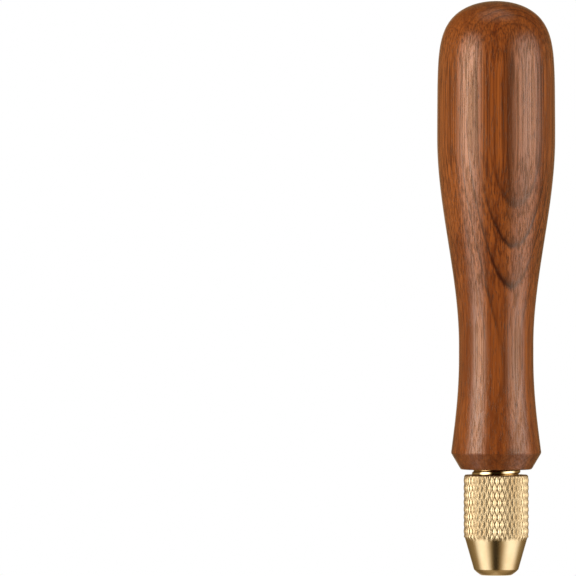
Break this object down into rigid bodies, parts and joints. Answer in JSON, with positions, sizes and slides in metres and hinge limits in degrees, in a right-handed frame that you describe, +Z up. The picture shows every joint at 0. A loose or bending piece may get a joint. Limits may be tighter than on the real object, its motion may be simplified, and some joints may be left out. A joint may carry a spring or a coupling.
{
  "type": "awl haft",
  "caption": "Turned wooden awl handle with a threaded brass chuck, a split spring collet and a knurled cone nut that closes the collet on a blade shank.",
  "frame": {"origin": "centre of the nut's flat nose end, where a blade comes out", "axes": "+Z runs up the tool's axis from the nose to the rounded butt of the handle; +X and +Y are any two directions across it, because the handle and the nut are round"},
  "size_m": [0.0292, 0.0292, 0.142],
  "materials": {
    "wood": "reddish-brown hardwood, sanded fine and oiled to a satin sheen",
    "turned_brass": "bright turned brass with fine lathe marks",
    "nut_brass": "diamond-knurled sleeve and polished cone"
  },
  "bodies": {
    "handle": {"handle": "wood", "chuck_body": "turned_brass"},
    "collet": {"collet_base": "turned_brass"},
    "jaw_1": {"jaw_1": "turned_brass"},
    "jaw_2": {"jaw_2": "turned_brass"},
    "jaw_3": {"jaw_3": "turned_brass"},
    "jaw_4": {"jaw_4": "turned_brass"},
    "nut": {"chuck_nut": "nut_brass"}
  },
  "joints": [
    {"name": "nut_turn", "type": "hinge", "parent": "handle", "child": "collet", "pos_m": [0, 0, 0.0315], "axis": [0, 0, -1], "range_deg": [-264, 6480]},
    {"name": "nut_travel", "type": "slide", "parent": "collet", "child": "nut", "axis": [0, 0, -1], "range_m": [-0.0011, 0.0271]},
    {"name": "jaw_1_close", "type": "hinge", "parent": "collet", "child": "jaw_1", "pos_m": [0.00064, -0.00329, 0.02915], "axis": [0.9816, 0.1908, 0], "range_deg": [0, 1.2], "stiffness_Nm_per_rad": 0.05},
    {"name": "jaw_2_close", "type": "hinge", "parent": "collet", "child": "jaw_2", "pos_m": [0.00329, 0.00064, 0.02915], "axis": [-0.1908, 0.9816, 0], "range_deg": [0, 1.2], "stiffness_Nm_per_rad": 0.05},
    {"name": "jaw_3_close", "type": "hinge", "parent": "collet", "child": "jaw_3", "pos_m": [-0.00064, 0.00329, 0.02915], "axis": [-0.9816, -0.1908, 0], "range_deg": [0, 1.2], "stiffness_Nm_per_rad": 0.05},
    {"name": "jaw_4_close", "type": "hinge", "parent": "collet", "child": "jaw_4", "pos_m": [-0.00329, -0.00064, 0.02915], "axis": [0.1908, -0.9816, 0], "range_deg": [0, 1.2], "stiffness_Nm_per_rad": 0.05}
  ],
  "couplings": [
    {"joint": "nut_travel", "follows": "nut_turn", "m_per_rad": 0.00023873},
    {"joint": "jaw_2_close", "follows": "jaw_1_close", "ratio": 1},
    {"joint": "jaw_3_close", "follows": "jaw_1_close", "ratio": 1},
    {"joint": "jaw_4_close", "follows": "jaw_1_close", "ratio": 1}
  ]
}
